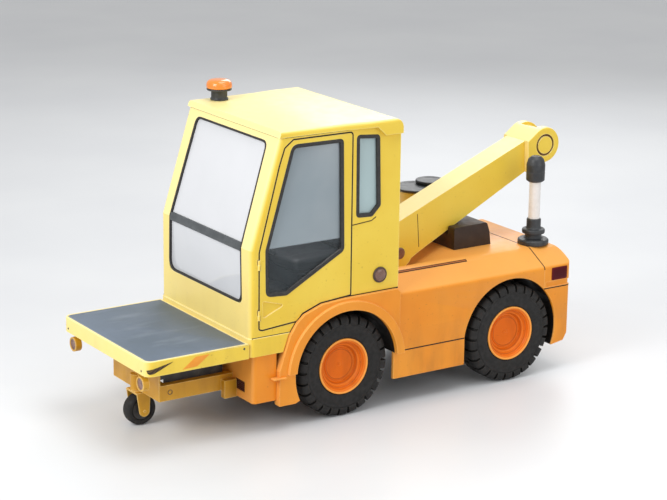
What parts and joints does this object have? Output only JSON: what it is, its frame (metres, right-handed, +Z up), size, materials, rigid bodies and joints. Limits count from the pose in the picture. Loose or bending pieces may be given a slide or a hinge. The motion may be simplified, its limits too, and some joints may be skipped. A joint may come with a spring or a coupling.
{
  "type": "baggage tractor",
  "caption": "Compact cab tractor for towing baggage trolleys, with a front load platform on a swivelling support wheel and a luffing boom over the rear deck.",
  "frame": {"origin": "on the ground, under the middle of the overall length and width", "axes": "+X to the vehicle's front, +Y to its left, +Z up"},
  "size_m": [3.5312, 1.24, 2.093],
  "materials": {
    "yellow_paint": "satin",
    "orange_paint": "satin",
    "rim_paint": "satin",
    "dark_steel": "satin",
    "bare_steel": "worn",
    "tyre": "matt",
    "black_rubber": "matt",
    "deck_mat": "matt",
    "clear_glass": "clear",
    "black_plastic": "matt",
    "orange_lens": "clear",
    "red_lens": "clear",
    "brown_plastic": "satin",
    "white_tube": "gloss",
    "seat_cover": "matt"
  },
  "bodies": {
    "chassis": {"chassis_frame": "dark_steel", "front_axle": "dark_steel", "rear_axle": "dark_steel", "drive_unit": "dark_steel", "subframe": "yellow_paint", "deck_tray": "yellow_paint", "deck_mat": "deck_mat", "lamp_pods": "yellow_paint", "front_box": "orange_paint", "grilles": "brown_plastic", "front_sill": "yellow_paint", "front_fenders": "orange_paint", "cab_shell": "yellow_paint", "roof": "yellow_paint", "cab_floor": "dark_steel", "cab_glass": "clear_glass", "cab_seals": "black_rubber", "seat": "seat_cover", "dashboard": "black_plastic", "steering_column": "black_plastic", "beacon_base": "black_plastic", "beacon_dome": "orange_lens", "side_lamps": "brown_plastic", "rear_body": "orange_paint", "rear_cap": "orange_paint", "side_skirts": "orange_paint", "tail_lights": "red_lens", "boom_pedestal": "yellow_paint", "boom_pin": "brown_plastic", "column_cap": "black_plastic", "winch_box": "brown_plastic", "post_fittings": "black_plastic", "post_tube": "white_tube", "tow_hitch": "dark_steel"},
    "knuckle_left": {"knuckle_left": "dark_steel"},
    "knuckle_right": {"knuckle_right": "dark_steel"},
    "tie_rod": {"tie_rod": "bare_steel"},
    "wheel_front_left": {"rim_front_left": "rim_paint", "tyre_front_left": "tyre"},
    "wheel_front_right": {"rim_front_right": "rim_paint", "tyre_front_right": "tyre"},
    "wheel_rear_left": {"rim_rear_left": "rim_paint", "tyre_rear_left": "tyre"},
    "wheel_rear_right": {"rim_rear_right": "rim_paint", "tyre_rear_right": "tyre"},
    "caster_fork": {"caster_fork": "yellow_paint"},
    "caster_wheel": {"caster_hub": "bare_steel", "caster_tyre": "tyre"},
    "door_left": {"door_left": "yellow_paint", "door_seal_left": "black_rubber", "door_glass_left": "clear_glass"},
    "door_right": {"door_right": "yellow_paint", "door_seal_right": "black_rubber", "door_glass_right": "clear_glass"},
    "boom": {"boom": "yellow_paint"}
  },
  "joints": [
    {"name": "steer_left", "type": "hinge", "parent": "chassis", "child": "knuckle_left", "pos_m": [0.31464, 0.4, 0.34], "axis": [0, 0, 1], "range_deg": [-35, 35]},
    {"name": "steer_right", "type": "hinge", "parent": "chassis", "child": "knuckle_right", "pos_m": [0.31464, -0.4, 0.34], "axis": [0, 0, 1], "range_deg": [-35, 35]},
    {"name": "tie_rod_pivot", "type": "hinge", "parent": "knuckle_left", "child": "tie_rod", "pos_m": [0.18464, 0.4, 0.2813], "axis": [0, 0, 1], "range_deg": [-35, 35]},
    {"name": "roll_front_left", "type": "hinge", "parent": "knuckle_left", "child": "wheel_front_left", "pos_m": [0.31464, 0.479, 0.34], "axis": [0, 1, 0], "continuous": true},
    {"name": "roll_front_right", "type": "hinge", "parent": "knuckle_right", "child": "wheel_front_right", "pos_m": [0.31464, -0.479, 0.34], "axis": [0, 1, 0], "continuous": true},
    {"name": "roll_rear_left", "type": "hinge", "parent": "chassis", "child": "wheel_rear_left", "pos_m": [-1.04936, 0.479, 0.34], "axis": [0, 1, 0], "continuous": true},
    {"name": "roll_rear_right", "type": "hinge", "parent": "chassis", "child": "wheel_rear_right", "pos_m": [-1.04936, -0.479, 0.34], "axis": [0, 1, 0], "continuous": true},
    {"name": "caster_swivel", "type": "hinge", "parent": "chassis", "child": "caster_fork", "pos_m": [1.53764, 0, 0.24], "axis": [0, 0, 1], "continuous": true},
    {"name": "caster_roll", "type": "hinge", "parent": "caster_fork", "child": "caster_wheel", "pos_m": [1.51764, 0, 0.104], "axis": [0, 1, 0], "continuous": true},
    {"name": "door_left_hinge", "type": "hinge", "parent": "chassis", "child": "door_left", "pos_m": [0.96564, 0.574, 1], "axis": [0, 0, 1], "range_deg": [-75, 0]},
    {"name": "door_right_hinge", "type": "hinge", "parent": "chassis", "child": "door_right", "pos_m": [0.96564, -0.574, 1], "axis": [0, 0, 1], "range_deg": [0, 75]},
    {"name": "boom_luff", "type": "hinge", "parent": "chassis", "child": "boom", "pos_m": [-0.44036, 0, 0.882], "axis": [0, 1, 0], "range_deg": [0, 30]}
  ],
  "couplings": [
    {"joint": "steer_right", "follows": "steer_left", "ratio": 1},
    {"joint": "tie_rod_pivot", "follows": "steer_left", "ratio": -1}
  ]
}
